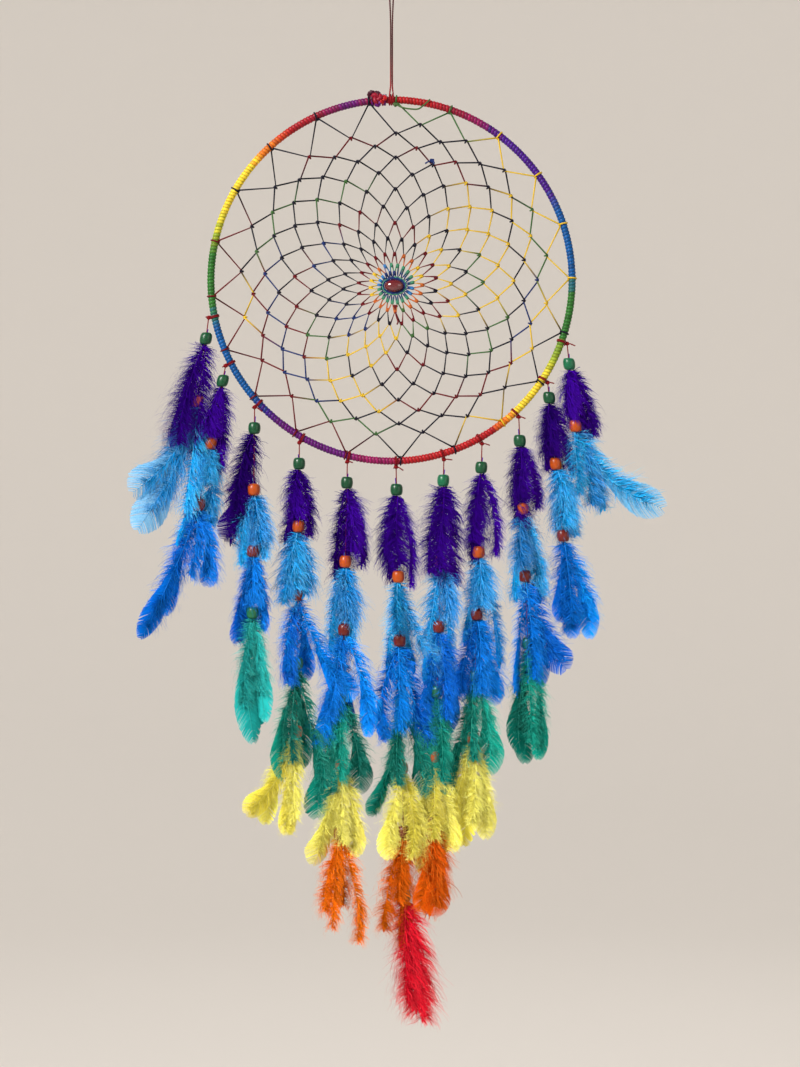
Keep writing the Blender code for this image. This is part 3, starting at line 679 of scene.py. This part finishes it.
def make_centre_bead():
    """A lacquered oval bead, turned about the thread."""
    turn = np.linspace(0, 2 * math.pi, 40, endpoint=False)
    lean = np.linspace(BEAD_END, math.pi - BEAD_END, 25)
    end = BEAD_HALF[0] * math.cos(BEAD_END)
    outline = [(end, BEAD_BORE)]
    outline += [(BEAD_HALF[0] * math.cos(a), BEAD_HALF[1] * math.sin(a)) for a in lean]
    outline += [(-end, BEAD_BORE), (0, BEAD_BORE), outline[0]]
    verts = np.array([[(x, -r * math.cos(t), r * math.sin(t)) for t in turn] for x, r in outline])
    verts = verts.reshape(-1, 3) + HOOP_CENTRE + WEB_CENTRE
    quads = grid_quads(len(outline), len(turn))
    build("oval_bead", verts, quads, BEAD_WINE, LACQUER, "hoop", ["centre_bead"])


# Strands

def bead_drops(number):
    """How far each of a strand's beads lies below its knot."""
    _, first, second, between = STRANDS[number]
    gaps = [first, second] + [between] * (len(TUFT_LENGTHS[number]) - 2)
    return np.cumsum(gaps) * MM


def strand_pivot(number):
    """Where a strand swings: the place of its joint in the frame."""
    joint = next(j for j in frame["joints"] if j["name"] == f"strand_{number + 1:02d}_swing")
    return np.array(joint["pos_m"])


def make_cord(number):
    """A strand's red cord with its knot under the tie, at its real length."""
    pivot = strand_pivot(number)
    lean = STRANDS[number][0]
    end = bead_drops(number)[-1] + BEAD_LENGTH / 2 + CORD_END
    drops = np.linspace(0, end, max(90, int(end / MM)))
    path = pivot + np.stack([lean * drops, 0 * drops, -drops], axis=1)
    body = f"strand_{number + 1:02d}"
    verts, quads = sweep(path, STRAND_CORD / 2, sides=8, plies=2, lay=STRAND_LAY)
    solid = [f"{body}_cord"]
    piece = build(f"{body}_red_cord", verts, quads, STRAND_RED, CORD, body, solid)
    turn = np.linspace(0, 2 * math.pi, 22)
    parts = []
    for spin in KNOT_SPINS:
        loop = np.stack([np.cos(turn), np.sin(turn) * math.cos(spin), np.sin(turn) * math.sin(spin)], axis=1)
        parts.append(sweep(pivot + loop * KNOT_LOOP, KNOT_RADIUS, sides=8, plies=2, lay=END_LAY))
    verts, quads = joined(parts)
    build(f"{body}_knot", verts, quads, KNOT_RED, CORD, body)


def make_tie(number):
    """Turns of the strand's cord round the hoop above its knot, and the cut ends, which ride on the hoop."""
    pivot = strand_pivot(number)
    offset = pivot - HOOP_CENTRE
    middle = math.atan2(offset[0], offset[2])
    rise = WRAP_RADIUS + TIE_GAP
    path = []
    for turn in np.linspace(0, TIE_TURNS, 56):
        spin = 2 * math.pi * turn
        angle = middle + (turn - TIE_TURNS / 2) * TIE_PITCH / RING_RADIUS
        path.append(hoop_point(angle, RING_RADIUS + rise * math.cos(spin), -rise * math.sin(spin)))
    parts = [sweep(path, STRAND_CORD / 2, sides=8, plies=2, lay=STRAND_LAY)]
    random = np.random.default_rng(TIE_SEED + number)
    for way, far in ((1, random.uniform(*LONG_END)), (-1, random.uniform(*SHORT_END))):
        drop = random.uniform(-0.2, 0.7) * far
        tail = [(0, 0, 0), (way * 0.4 * far, -1.3, 0.3 - 0.3 * drop), (way * far, -1.6, -drop)]
        route = smooth(pivot + np.array(tail) * MM, 14)
        parts.append(sweep(route, END_RADIUS, sides=7, plies=2, lay=END_LAY))
    verts, quads = joined(parts)
    build(f"tie_{number + 1:02d}", verts, quads, STRAND_RED, CORD, "hoop")


def make_bead(number, tier, drop, random):
    """A painted wooden barrel bead, turned about its cord."""
    profile = list(BARREL) + [(-height, radius) for height, radius in reversed(BARREL[:-1])] + [BARREL[0]]
    turn = np.linspace(0, 2 * math.pi, 32, endpoint=False)
    radius = BEAD_RADIUS * random.normal(1.0, 0.02)
    rings = [
        [(radius * r * math.cos(t), radius * r * math.sin(t), BEAD_LENGTH / 2 * h) for t in turn]
        for h, r in profile
    ]
    verts = np.array(rings).reshape(-1, 3)
    lean = STRANDS[number][0]
    verts[:, 0] -= lean * verts[:, 2]
    verts = verts + (strand_pivot(number) + [lean * drop, 0, -drop])
    tint = np.array(BEAD_COLOURS[tier % len(BEAD_COLOURS)]) * random.normal(1.0, 0.08)
    if tier == FOURTH_TIER:
        tint = tint * FOURTH_LIGHTER
    if tier == 0 and number in LIGHT_FIRST_BEADS:
        tint = tint * FIRST_LIGHTER
    quads = grid_quads(len(profile), len(turn))
    body = f"strand_{number + 1:02d}"
    build(f"{body}_bead_{tier + 1}", verts, quads, tint, PAINTED_WOOD, body)


# Feathers

class Spine:
    """A feather's curved and twisted middle line, with directions across it and out of its face."""

    def __init__(self, root, tip, bow, facing, random):
        # The line goes on past the tip, because the last barbs reach beyond it
        t = np.linspace(0, 1.3, 66)[:, None]
        middle = (root + tip) / 2 + bow
        line = (1 - t) ** 2 * root + 2 * t * (1 - t) * middle + t**2 * tip
        side = unit(np.cross(tip - root, facing))
        self.length = np.linalg.norm(tip - root)
        bend = random.normal(0, 0.022) * self.length * np.sin(random.uniform(0, 6.3) + 4.6 * t) * t
        self.t = t[:, 0]
        self.line = line + bend * side
        tangent = unit(np.gradient(self.line, axis=0))
        twist = random.normal(0, 0.2) * t
        across = unit(np.cross(tangent, facing))
        self.across = np.cos(twist) * across + np.sin(twist) * np.cross(across, tangent)
        self.out = np.cross(self.across, tangent)

    def at(self, t, across, out):
        """Points at shares of the length, moved across the feather and out of its face."""
        point = [np.interp(t, self.t, self.line[:, k]) for k in range(3)]
        for size, table in ((across, self.across), (out, self.out)):
            point = [p + size * np.interp(t, self.t, table[:, k]) for k, p in enumerate(point)]
        return np.stack(point, axis=-1)


def ribbons(one, two):
    """Quads between pairs of edge lines, as points and faces."""
    count, steps = one.shape[:2]
    verts = np.stack([one, two], axis=2).reshape(-1, 3)
    start = (np.arange(count)[:, None] * steps + np.arange(steps - 1)[None, :]) * 2
    quads = np.stack([start, start + 1, start + 3, start + 2], axis=-1).reshape(-1, 4)
    return verts, quads


def vane(spine, width, start, blunt, splits, random):
    """The closed web of barbs: each ends on a rounded outline, with a split here and there."""
    count, steps, per_clump = 112, 6, 8
    clumps = count // per_clump
    u = np.linspace(0, 1, steps)[None, :]
    end = np.linspace(start, 1.0, count)[:, None]
    gap = (1.0 - start) / count
    parts, shades = [], []
    for side in (-1, 1):
        rise = np.clip((end - start) / 0.5, 0, 1)
        grow = 0.25 + 0.75 * rise * rise * (3 - 2 * rise)
        close = np.sqrt(np.maximum(0, 1 - (np.maximum(0, end - 1 + blunt) / blunt) ** 2))
        half = width * grow * close * random.normal(1, 0.025, (count, 1))
        root = np.maximum(0, end - random.uniform(0.9, 1.2) * half / spine.length)
        centre = np.repeat(end.reshape(-1, per_clump).mean(axis=1), per_clump)[:, None]
        split = random.uniform(0.3, 0.95, (clumps, 1)) * (random.random((clumps, 1)) < splits)
        pull = np.repeat(split, per_clump, axis=0)
        along = root + (end - root) * (0.6 * u + 0.4 * u**2) + (centre - end) * pull * u**3
        clump = np.repeat(random.normal(0, 1, (clumps, 1)), per_clump, axis=0)
        lift = (random.normal(0, 0.1 * MM, (count, 1)) + 0.25 * MM * clump) * u - 0.22 * half * u**2
        edge = gap * (1.0 - 0.35 * u**3)
        lines = [spine.at(along + way * edge, side * half * u, lift) for way in (-1, 1)]
        parts.append(ribbons(*lines))
        shades.append((random.normal(1, 0.06, (count, 1)) + 0.05 * clump) * (0.86 + 0.22 * u))
    return parts, shades


def down(spine, reach, stop, count, thick, inner, random):
    """The loose barbs: long, wavy, standing out all round and drooping to the tip."""
    steps, per_clump = 7, 3
    u = np.linspace(0, 1, steps)[None, :]
    clumps = count // per_clump

    def spread(values, own):
        """A clump's value for each of its barbs, with each barb's own difference."""
        return np.repeat(values, per_clump)[:, None] + random.normal(0, own, (clumps * per_clump, 1))

    root = np.clip(spread(stop * random.uniform(0.0, 1.0, clumps) ** 0.8, 0.015), 0, stop)
    side = np.repeat(random.choice([-1.0, 1.0], clumps), per_clump)[:, None]
    swing = spread(random.normal(0, 0.85, clumps), 0.25)
    along = root / stop
    fade = np.minimum(1, 0.75 + 1.4 * along) * (1 - 0.3 * np.maximum(0, along - 0.7) / 0.3)
    length = reach * fade * np.clip(spread(random.uniform(0.7, 1.1, clumps), 0.16), 0.3, 1.5)
    length = length * np.where(side * inner > 0, 1 - abs(inner), 1)
    wave = spread(random.uniform(0, 6.3, clumps), 0.7)
    curl = spread(random.uniform(0.6, 1.7, clumps), 0.3) * MM
    droop = spread(random.uniform(0.2, 0.5, clumps), 0.08)
    across = side * length * np.cos(swing) * (u - 0.8 * droop * u**2) + curl * np.sin(wave + 5 * u) * u
    out = length * np.sin(swing) * (u - droop * u**2) * 0.5 + curl * np.cos(1.7 * wave + 4 * u) * u
    forward = length * np.minimum(1, 0.4 + 2.5 * along) * (0.25 * u + (0.2 + 0.5 * droop) * u**2)
    forward = forward + curl * np.sin(2.3 * wave + 4 * u) * u
    half = thick * random.uniform(0.6, 1.3, root.shape) * (1 - 0.75 * u)
    lines = []
    for way in (-1, 1):
        slide = (forward + way * half * 0.7) / spine.length
        lines.append(spine.at(root + slide, across + way * half * 0.6, out + way * half * 0.4))
    # Tone: random for each clump, and darker towards the barb's root, which is painted shade inside the tuft.
    tone = spread(random.uniform(0.52, 1.35, clumps), 0.08) * (0.62 + 0.55 * u)
    # Light: how much of the pale tip colour each barb takes towards its tip, partly the down's own paler tips
    # and partly painted highlight.
    light = np.clip(random.uniform(0.1, 0.9, root.shape) * u**2, 0, 1)
    return ribbons(*lines), tone, light


def shaft(spine, start, stop):
    """The feather's tapering middle rib."""
    t = np.linspace(start, stop, 26)
    path = spine.at(t, 0 * t, 0 * t + 0.1 * MM)
    return sweep(path, np.linspace(0.55 * MM, 0.12 * MM, len(t)), 6)


def make_feather(spine, width, tier, tints, form, inner, faded, random):
    """One feather's points, quads and colours."""
    closed, breadth, splits = form
    edge = np.array(TIERS[tier][EDGE])
    mixed = random.uniform(0.1, 1)
    colour = (np.array(tints[0]) * (1 - mixed) + np.array(tints[1]) * mixed) * random.normal(1, 0.06)
    start = max(0.05, random.normal(0.85 - closed, 0.06))
    stop = min(0.95, start + random.uniform(0.38, 0.48))
    blunt = random.uniform(0.22, 0.45) * (0.75 if faded else 1) + (0.35 if splits > 0.5 else 0)
    shapes, shades = vane(spine, width * breadth, start, blunt, splits, random)
    web = colour * (1 - faded) + np.array(FADED) * faded
    colours = [np.repeat(shade.reshape(-1), 2)[:, None] * web for shade in shades]
    contrast = YELLOW_CONTRAST if tier == YELLOW_TIER else 1
    for count, thick, far in DOWN_LAYERS:
        part, tone, light = down(spine, width * far * FLUFF[tier], stop, count, thick, inner, random)
        shapes.append(part)
        tone, light = (np.repeat(mix.reshape(-1), 2)[:, None] for mix in (tone, light))
        tone = 1 + (tone - 1) * contrast
        # The down's colour: its tone, painted shade included, with the pale tip colour mixed in as partly
        # painted highlight.
        colours.append(colour * tone * (1 - 0.6 * light) + edge * 0.6 * light)
    shapes.append(shaft(spine, 0, 0.96))
    colours.append(colour * 0.6 + edge * 0.25)
    verts, quads = joined(shapes)
    return verts, quads, np.clip(spread_tints(shapes, colours), 0, 0.95)


def tuft_tips(number, tier, random):
    """Sideways and downward reach of each feather's tip: left, right, behind."""
    length = TUFT_LENGTHS[number][tier]
    if (number, tier) in SWEPT_TUFTS:
        return SWEPT_TUFTS[number, tier]
    spread = random.uniform(7, 11)
    lean = random.normal(0, 3)
    near, far = random.permutation([random.uniform(0.78, 0.92), random.uniform(0.92, 1.0)])
    return (
        (lean - spread * random.uniform(0.8, 1.2), length * near),
        (lean + spread * random.uniform(0.8, 1.2), length * far),
        (lean + random.normal(0, 4), length * random.uniform(0.88, 1.0)),
    )


def shows_bead(number, tier, count):
    """Whether the next bead shows below a tuft."""
    if (number, tier) == LOW_SHOWN_BEAD:
        return True
    return tier + 1 < count and tier < SHOWN_BEADS and (number, tier) not in HIDDEN_BEADS


def make_tuft(number, tier, drops, random):
    """A tuft gathered under its bead: feathers beside and behind the cord, and a short one in front."""
    tuft = (number, tier)
    lean = STRANDS[number][0]
    top = drops[tier] + BEAD_LENGTH / 2 + TUFT_GAP
    root = strand_pivot(number) + [lean * top, 0, -top]
    tips = list(tuft_tips(number, tier, random))
    bead_shows = shows_bead(number, tier, len(drops))
    below = (drops[tier + 1] - top - BEAD_LENGTH / 2) / MM if bead_shows else 0.9 * tips[1][1]
    if len(tips) < len(PLACES):
        tips.append((random.normal(0, 4), min(0.85 * tips[1][1], 0.95 * below)))
    tints = TURQUOISE if tuft == TURQUOISE_TUFT else TIERS[tier][1:EDGE]
    depths = BEAD_SHOWS_DEPTHS if bead_shows else BEAD_HIDDEN_DEPTHS
    parts, colours = [], []
    for (reach, fall), depth, (place, start) in zip(tips, depths, PLACES):
        flick = abs(reach) > FLICK_REACH
        faded = FADED_SHARE if flick and tier == LIGHT_BLUE_TIER else 0.0
        spine = tuft_spine(root, lean, (reach, fall), depth, start, flick, random)
        width = random.uniform(7.5, 9.5) * MM * min(1.0, fall / 60 + 0.3)
        width *= 1.1 if flick else 1.25 if tier == RED_TIER else 1
        inner = -0.4 * np.sign(reach) if bead_shows and place == "side" else 0.0
        form = SOFT_FORM if place == "front" else TIERS[tier][FORM]
        if flick or place == "side" and tuft in BROAD_TUFTS:
            form = FLAG_FORM if faded else SWEPT_FORM
        if tuft in THIN_TUFTS:
            form, width = THIN_FORM, 0.75 * width
        verts, quads, tint = make_feather(spine, width, tier, tints, form, inner, faded, random)
        parts.append((verts, quads))
        colours.append(tint)
    parts.append(quill_stub(root, lean, random))
    colours.append(np.array(TIERS[tier][EDGE]) * 0.7)
    verts, quads = joined(parts)
    body = f"strand_{number + 1:02d}"
    node = f"{body}_tuft_{tier + 1}"
    replaced = [node] if node in frame["nodes"] else []
    tint = spread_tints(parts, colours)
    build(f"{body}_feathers_{tier + 1}", verts, quads, tint, FEATHER, body, replaced)


def tuft_spine(root, lean, reach_and_fall, depth, start, flick, random):
    """The middle line of a tuft's feather, from its root at the cord to its tip."""
    reach, fall = reach_and_fall
    sway = reach * MM
    deep = (depth + random.normal(0, 1.5)) * MM
    tip = root + [lean * fall * MM + sway, deep, -fall * MM]
    begin = root + [0.9 * MM * np.sign(reach), start * MM, 0]
    outward = -0.35 * min(1, abs(reach) / fall) if flick else 0.5
    bow = np.array([outward * sway, random.normal(0.25, 0.2) * deep, -0.15 * fall * MM * flick])
    bow[0] += random.normal(0, 2.0 * MM)
    yaw = random.normal(np.clip(-0.02 * reach, -0.3, 0.3), 0.2)
    front = 1 if depth > 5 else -1
    return Spine(begin, tip, bow, np.array([math.sin(yaw), front * math.cos(yaw), 0.0]), random)


def quill_stub(root, lean, random):
    """The end of a quill that stands out above the bead beside the cord."""
    height = BEAD_LENGTH + random.uniform(2.5, 6) * MM
    beside = random.choice([-1.0, 1.0]) * 0.9 * MM
    share = np.linspace(0, 1, 8)
    points = [root + [beside * s - lean * height * s, -0.4 * MM * s, height * s] for s in share]
    return sweep(points, np.linspace(0.5 * MM, 0.35 * MM, len(share)), 6)


def make_strands():
    """Every strand from its tie down, each bead and tuft with random draws of its own."""
    for number in range(len(STRANDS)):
        make_tie(number)
        make_cord(number)
        drops = bead_drops(number)
        for tier, drop in enumerate(drops):
            random = np.random.default_rng(STRAND_SEEDS * number + tier)
            make_bead(number, tier, drop, random)
            make_tuft(number, tier, drops, random)


# Ring inside the wrap

def finish_ring():
    """The steel wire keeps its solid and gets a material."""
    mesh = frame["nodes"]["hoop_ring"].data
    tint = mesh.attributes.new("tint", "FLOAT_COLOR", "POINT")
    tint.data.foreach_set("color", np.tile(WIRE_GREY, len(tint.data)).astype(np.float32))
    mesh.materials.clear()
    mesh.materials.append(principled("drawn_wire", 0.35, grain=1200.0, vary=0.1, Metallic=1.0))


# Camera, floor and light

def floor_paint():
    """A pale material that rays from the camera, also by way of gloss or glass, see at an even brightness."""
    paint = bpy.data.materials.new("pale_floor")
    paint.use_nodes = True
    nodes, links = paint.node_tree.nodes, paint.node_tree.links
    shader = nodes["Principled BSDF"]
    shader.inputs["Roughness"].default_value = 0.9
    shader.inputs["Emission Color"].default_value = FLOOR_GLOW_COLOUR
    rays = nodes.new("ShaderNodeLightPath")
    seen = rays.outputs["Is Camera Ray"]
    for ray in ("Is Glossy Ray", "Is Transmission Ray"):
        either = nodes.new("ShaderNodeMath")
        either.operation = "MAXIMUM"
        links.new(seen, either.inputs[0])
        links.new(rays.outputs[ray], either.inputs[1])
        seen = either.outputs[0]
    base = nodes.new("ShaderNodeMix")
    base.data_type = "RGBA"
    base.inputs[MIX_FIRST].default_value = FLOOR_LIT
    base.inputs[MIX_SECOND].default_value = FLOOR_SEEN
    links.new(seen, base.inputs[MIX_SHARE])
    links.new(base.outputs[MIX_RESULT], shader.inputs["Base Color"])
    glow = nodes.new("ShaderNodeMath")
    glow.operation = "MULTIPLY"
    glow.inputs[1].default_value = FLOOR_GLOW
    links.new(seen, glow.inputs[0])
    links.new(glow.outputs[0], shader.inputs["Emission Strength"])
    return paint


def make_stage():
    """A pale floor that curves up into a pale wall all round, far from the object."""
    turn = np.linspace(0, 2 * math.pi, FLOOR_SIDES, endpoint=False)
    profile = [(0.001, 0.0), (FLOOR_FLAT, 0.0)]
    for bend in np.linspace(0, math.pi / 2, 12):
        radius = WALL_RADIUS - FLOOR_CURVE + FLOOR_CURVE * math.sin(bend)
        profile.append((radius, FLOOR_CURVE - FLOOR_CURVE * math.cos(bend)))
    profile.append((WALL_RADIUS, WALL_HEIGHT))
    rings = [[(r * math.cos(t), r * math.sin(t), FLOOR_DEPTH + z) for t in turn] for r, z in profile]
    mesh = bpy.data.meshes.new("floor")
    quads = grid_quads(len(profile), FLOOR_SIDES)
    mesh.from_pydata(np.array(rings).reshape(-1, 3).tolist(), [], quads.tolist())
    mesh.shade_smooth()
    mesh.materials.append(floor_paint())
    floor = bpy.data.objects.new("floor", mesh)
    bpy.context.scene.collection.objects.link(floor)


def area_light(name, place, size, power, colour):
    """A square lamp that faces the middle of the picture."""
    data = bpy.data.lights.new(name, "AREA")
    data.size = size
    data.energy = power
    data.color = colour
    light = bpy.data.objects.new(name, data)
    bpy.context.scene.collection.objects.link(light)
    light.location = place
    light.rotation_euler = look(place, FRAME_CENTRE)


def look(place, target):
    """Rotation that turns a lamp at a place towards a target."""
    return (Vector(target) - Vector(place)).to_track_quat("-Z", "Y").to_euler()


def make_camera():
    """A camera straight in front, framed as the photograph is."""
    data = bpy.data.cameras.new("camera")
    data.sensor_fit = "VERTICAL"
    data.sensor_height = 24.0
    data.lens = data.sensor_height * CAMERA_DISTANCE / FRAME_HEIGHT
    camera = bpy.data.objects.new("camera", data)
    bpy.context.scene.collection.objects.link(camera)
    camera.location = FRAME_CENTRE + [0, -CAMERA_DISTANCE, 0]
    camera.rotation_euler = (math.pi / 2, 0, 0)
    bpy.context.scene.camera = camera


def make_world():
    """Even, slightly warm light from all round."""
    world = bpy.data.worlds.new("studio")
    bpy.context.scene.world = world
    world.use_nodes = True
    shade = world.node_tree.nodes["Background"]
    shade.inputs["Color"].default_value = WORLD_COLOUR
    shade.inputs["Strength"].default_value = WORLD_STRENGTH


make_camera()
make_hanger()
make_wrap()
make_wrap_knot()
make_web()
make_centre_bead()
make_strands()
finish_ring()
make_stage()
make_world()
for lamp in LIGHTS:
    area_light(*lamp)
bpy.context.scene.view_settings.view_transform = "Standard"
